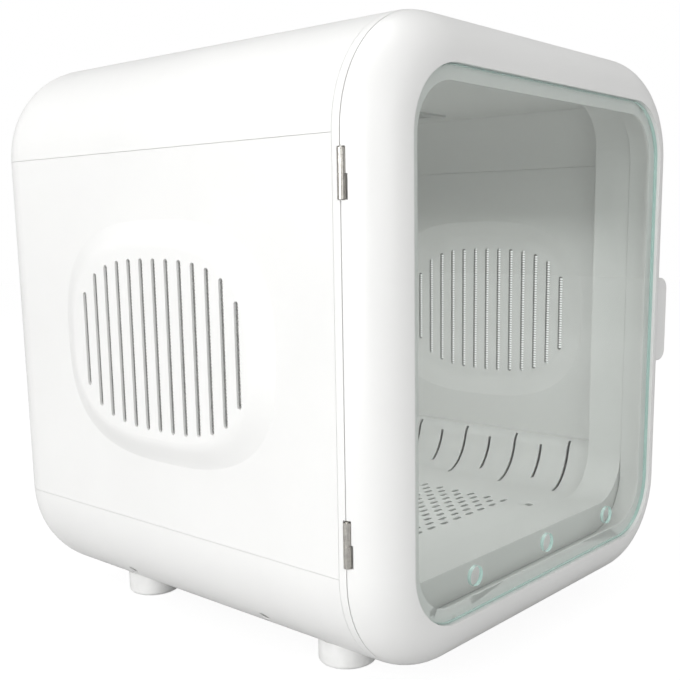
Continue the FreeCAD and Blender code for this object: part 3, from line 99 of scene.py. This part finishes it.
def add_panel(name, spot, aim, size, power):
    """A soft rectangular light."""
    data = bpy.data.lights.new(name, "AREA")
    data.shape, data.size, data.size_y, data.energy = "RECTANGLE", size[0], size[1], power
    light = bpy.data.objects.new(name, data)
    light.location = spot
    light.rotation_euler = (Vector(aim) - Vector(spot)).to_track_quat("-Z", "Y").to_euler()
    bpy.context.scene.collection.objects.link(light)
    return light


def add_studio():
    bpy.context.scene.view_settings.view_transform = "Standard"
    add_world()
    add_panel("key", (-2.4, -0.3, 0.75), (0, 0, 0.22), (1.9, 1.7), 35)
    add_panel("top", (-0.4, 0.2, 2.6), (0, 0, 0.4), (1.8, 1.8), 16)
    add_panel("fill", (-1.1, -2.3, 0.9), (0, 0, 0.2), (1.6, 1.2), 8)
    window = add_panel("window", (2.0, -1.9, 0.85), (0, 0, 0.3), (1.2, 1.0), 12)
    window.visible_glossy = False

    # light scattered down inside the chamber
    glow = add_panel("chamber_glow", (-0.02, -0.03, 0.37), (-0.02, -0.03, 0), (0.30, 0.24), 0.44)
    glow.visible_camera = False
    glow.visible_glossy = False

    bpy.ops.mesh.primitive_plane_add(size=FLOOR_SIDE)
    floor = bpy.context.object
    floor.name = "floor"
    floor.data.materials.append(flat_white("floor_white"))


def flat_white(name):
    """A pale sweep: almost white to the camera, and a source of bounced light."""
    material = bpy.data.materials.new(name)
    material.use_nodes = True
    tree = material.node_tree
    shader = tree.nodes["Principled BSDF"]
    shader.inputs["Base Color"].default_value = (0.62, 0.62, 0.62, 1)
    shader.inputs["Roughness"].default_value = 0.9
    shown = tree.nodes.new("ShaderNodeBsdfDiffuse")
    shown.inputs["Color"].default_value = (0.14, 0.14, 0.14, 1)
    glow = tree.nodes.new("ShaderNodeEmission")
    glow.inputs["Strength"].default_value = 0.92
    both = tree.nodes.new("ShaderNodeAddShader")
    mix = tree.nodes.new("ShaderNodeMixShader")
    tree.links.new(shown.outputs[0], both.inputs[0])
    tree.links.new(glow.outputs[0], both.inputs[1])
    tree.links.new(tree.nodes.new("ShaderNodeLightPath").outputs["Is Camera Ray"], mix.inputs["Fac"])
    tree.links.new(shader.outputs[0], mix.inputs[1])
    tree.links.new(both.outputs[0], mix.inputs[2])
    tree.links.new(mix.outputs[0], tree.nodes["Material Output"].inputs["Surface"])
    return material


# ---------------------------------------------------------------- materials
class Nodes:
    """A short way to build one material's node tree."""

    def __init__(self, name):
        self.material = bpy.data.materials.new(name)
        self.material.use_nodes = True
        self.tree = self.material.node_tree
        self.shader = self.tree.nodes["Principled BSDF"]
        self.output = self.tree.nodes["Material Output"]
        self.place = self.add("TexCoord").outputs["Object"]

    def add(self, kind, **settings):
        item = self.tree.nodes.new("ShaderNode" + kind)
        for key, value in settings.items():
            setattr(item, key, value)
        return item

    def link(self, source, target):
        self.tree.links.new(source, target)

    def noise(self, scale, detail, stretch=None):
        """Noise with features about 1/scale metres across."""
        item = self.add("TexNoise")
        item.inputs["Scale"].default_value = scale
        item.inputs["Detail"].default_value = detail
        source = self.place
        if stretch:
            mapping = self.add("Mapping")
            mapping.inputs["Scale"].default_value = stretch
            self.link(self.place, mapping.inputs["Vector"])
            source = mapping.outputs["Vector"]
        self.link(source, item.inputs["Vector"])
        return item.outputs["Fac"]

    def spread(self, source, low, high):
        """A noise value stretched to run from low to high."""
        item = self.add("MapRange")
        item.inputs["From Min"].default_value = NOISE_LOW
        item.inputs["From Max"].default_value = NOISE_HIGH
        item.inputs["To Min"].default_value = low
        item.inputs["To Max"].default_value = high
        self.link(source, item.inputs["Value"])
        return item.outputs["Result"]

    def tint(self, source, first, second):
        """A colour between two, by the value of source."""
        item = self.add("Mix", data_type="RGBA")
        item.inputs[6].default_value = (*first, 1)
        item.inputs[7].default_value = (*second, 1)
        self.link(source, item.inputs["Factor"])
        return item.outputs[2]

    def bump(self, source, strength, distance, edge=0.0):
        """Surface relief, with sharp edges shaded as if rounded to the radius edge."""
        item = self.add("Bump")
        item.inputs["Strength"].default_value = strength
        item.inputs["Distance"].default_value = distance
        if edge:
            soft = self.add("Bevel", samples=4)
            soft.inputs["Radius"].default_value = edge
            self.link(soft.outputs["Normal"], item.inputs["Normal"])
        self.link(source, item.inputs["Height"])
        self.link(item.outputs["Normal"], self.shader.inputs["Normal"])


def shade(colour, factor):
    return tuple(max(0.0, min(1.0, part * factor)) for part in colour)


def moulded(name, colour, rough=0.38, grain=900, depth=40 * MICRON, spread=0.025, coat=0.0, edge=0.0):
    """Moulded plastic: a fine spark-eroded grain, slow colour drift and a slightly uneven sheen."""
    m = Nodes(name)
    drift = m.noise(7, 4)
    m.link(m.tint(m.spread(drift, 0, 1), shade(colour, 1 - spread), shade(colour, 1 + spread * 0.4)),
           m.shader.inputs["Base Color"])
    m.link(m.spread(m.noise(40, 5), rough - 0.05, rough + 0.06), m.shader.inputs["Roughness"])
    m.shader.inputs["Coat Weight"].default_value = coat
    m.shader.inputs["Coat Roughness"].default_value = 0.2
    m.bump(m.noise(grain, 2), 0.25, depth, edge)
    return m.material


def plated(name, colour, rough=0.22, along="z"):
    """Drawn and plated metal: fine lines along one axis and patches of duller plating."""
    stretch = {"z": (9000, 9000, 60), "x": (60, 9000, 9000)}[along]
    m = Nodes(name)
    m.shader.inputs["Metallic"].default_value = 1
    lines = m.noise(1, 2, stretch=stretch)
    m.link(m.tint(m.spread(m.noise(260, 4), 0, 1), shade(colour, 0.72), colour), m.shader.inputs["Base Color"])
    m.link(m.spread(lines, rough - 0.06, rough + 0.12), m.shader.inputs["Roughness"])
    m.bump(lines, 0.15, 20 * MICRON)
    return m.material


def rubbery(name, colour, rough=0.7):
    """Soft plastic or rubber: dull, with a fine grain."""
    m = Nodes(name)
    m.link(m.tint(m.spread(m.noise(60, 4), 0, 1), shade(colour, 0.93), shade(colour, 1.03)),
           m.shader.inputs["Base Color"])
    m.link(m.spread(m.noise(300, 3), rough - 0.08, rough + 0.08), m.shader.inputs["Roughness"])
    m.bump(m.noise(1500, 2), 0.3, 40 * MICRON)
    return m.material


def thin_glass(name, face, edge):
    """Sheet glass: clear through its faces with a mirror sheen, green where it is cut."""
    m = Nodes(name)
    clear = m.add("BsdfTransparent")
    clear.inputs["Color"].default_value = (*face, 1)
    gloss = m.add("BsdfGlossy")
    m.link(m.spread(m.noise(5, 3), 0.008, 0.02), gloss.inputs["Roughness"])
    geometry = m.add("NewGeometry")
    fresnel = m.add("Fresnel")
    fresnel.inputs["IOR"].default_value = GLASS_IOR
    outer = m.add("Math", operation="MULTIPLY")
    front = m.add("Math", operation="SUBTRACT")
    front.inputs[0].default_value = 1.0
    m.link(geometry.outputs["Backfacing"], front.inputs[1])
    m.link(fresnel.outputs[0], outer.inputs[0])
    m.link(front.outputs[0], outer.inputs[1])
    body = m.add("MixShader")
    m.link(outer.outputs[0], body.inputs["Fac"])
    m.link(clear.outputs[0], body.inputs[1])
    m.link(gloss.outputs[0], body.inputs[2])

    # the ground edge: its normal lies in the sheet's plane
    facing = m.add("VectorTransform", vector_type="NORMAL", convert_from="WORLD", convert_to="OBJECT")
    m.link(geometry.outputs["True Normal"], facing.inputs[0])
    split = m.add("SeparateXYZ")
    m.link(facing.outputs[0], split.inputs[0])
    size = m.add("Math", operation="ABSOLUTE")
    m.link(split.outputs["Y"], size.inputs[0])
    cut = m.add("Math", operation="LESS_THAN")
    m.link(size.outputs[0], cut.inputs[0])
    cut.inputs[1].default_value = FACE_TILT
    ground = m.shader
    ground.inputs["Base Color"].default_value = (*edge, 1)
    ground.inputs["Roughness"].default_value = 0.25
    ground.inputs["Transmission Weight"].default_value = 0.35
    m.bump(m.noise(700, 3), 0.2, 30 * MICRON)
    both = m.add("MixShader")
    m.link(cut.outputs[0], both.inputs["Fac"])
    m.link(body.outputs[0], both.inputs[1])
    m.link(ground.outputs[0], both.inputs[2])
    m.link(both.outputs[0], m.output.inputs["Surface"])
    return m.material


def board_green(name):
    """Solder mask with a grid of faint tracks under it."""
    m = Nodes(name)
    brick = m.add("TexBrick")
    brick.inputs["Scale"].default_value = 180
    brick.inputs["Mortar Size"].default_value = 0.08
    brick.inputs["Color1"].default_value = (0.03, 0.17, 0.08, 1)
    brick.inputs["Color2"].default_value = (0.04, 0.22, 0.10, 1)
    brick.inputs["Mortar"].default_value = (0.07, 0.30, 0.14, 1)
    m.link(m.place, brick.inputs["Vector"])
    m.link(brick.outputs["Color"], m.shader.inputs["Base Color"])
    m.shader.inputs["Roughness"].default_value = 0.35
    m.bump(m.noise(500, 3), 0.2, 50 * MICRON)
    return m.material


def foam(name, colour):
    """Open-cell foam: pale cell walls, with painted shade darkening the pits between them."""
    m = Nodes(name)
    cells = m.add("TexVoronoi")
    cells.inputs["Scale"].default_value = 900
    m.link(m.place, cells.inputs["Vector"])
    # painted shade: the colour darkens towards the bottom of each pit, following the bump's depth
    m.link(m.tint(cells.outputs["Distance"], shade(colour, 0.4), shade(colour, 1.6)),
           m.shader.inputs["Base Color"])
    m.shader.inputs["Roughness"].default_value = 0.95
    m.bump(cells.outputs["Distance"], 0.8, 0.6 * MM)
    return m.material


def make_materials():
    white = (0.80, 0.80, 0.79)
    return {
        "case_white": moulded("case_white", white, 0.36, coat=0.15, edge=0.5 * MM),
        "door_white": moulded("door_white", white, 0.34, coat=0.2, edge=0.6 * MM),
        "liner_white": moulded("liner_white", white, 0.5, grain=1400),
        "toughened_glass": thin_glass("toughened_glass", (0.935, 0.952, 0.942), (0.56, 0.80, 0.75)),
        "seal_grey": rubbery("seal_grey", (0.62, 0.62, 0.61)),
        "foot_rubber": rubbery("foot_rubber", (0.86, 0.86, 0.85), 0.6),
        "hinge_nickel": plated("hinge_nickel", (0.62, 0.60, 0.56)),
        "screw_steel": plated("screw_steel", (0.55, 0.55, 0.54), 0.3),
        "screen_mesh": plated("screen_mesh", (0.50, 0.50, 0.49), 0.45),
        "magnet_black": rubbery("magnet_black", (0.03, 0.03, 0.03), 0.6),
        "fan_black": moulded("fan_black", (0.025, 0.025, 0.026), 0.5),
        "motor_alloy": plated("motor_alloy", (0.50, 0.50, 0.50), 0.4),
        "heater_frame_plastic": moulded("heater_frame_plastic", (0.62, 0.57, 0.46), 0.55),
        "heater_fin_alloy": plated("heater_fin_alloy", (0.66, 0.66, 0.66), 0.35),
        "intake_plastic": moulded("intake_plastic", (0.70, 0.70, 0.69), 0.45),
        "filter_foam": foam("filter_foam", (0.06, 0.06, 0.06)),
        "lamp_glass": moulded("lamp_glass", (0.80, 0.84, 0.90), 0.08, coat=0.6),
        "lamp_holder_plastic": moulded("lamp_holder_plastic", (0.72, 0.72, 0.70), 0.45),
        "reflector_alloy": plated("reflector_alloy", (0.80, 0.80, 0.81), 0.18, "x"),
        "guard_steel": moulded("guard_steel", (0.72, 0.72, 0.71), 0.35),
        "circuit_board": board_green("circuit_board"),
        "panel_plastic": moulded("panel_plastic", (0.72, 0.72, 0.71), 0.3, coat=0.3),
        "display_glass": moulded("display_glass", (0.012, 0.012, 0.014), 0.08, coat=1.0),
        "button_plastic": moulded("button_plastic", (0.55, 0.56, 0.56), 0.35, coat=0.2),
        "inlet_plastic": moulded("inlet_plastic", (0.02, 0.02, 0.02), 0.45),
        "rocker_plastic": moulded("rocker_plastic", (0.03, 0.03, 0.03), 0.3),
        "wire_insulation": rubbery("wire_insulation", (0.70, 0.70, 0.68), 0.5),
    }


def dress_frame():
    """Every CAD node gets the material of its slot."""
    materials = make_materials()
    for part in frame["record"]["subparts"]:
        mesh = NODES[part["node"]].data
        mesh.materials.clear()
        mesh.materials.append(materials[part["material_slot"]])


add_studio()
dress_frame()
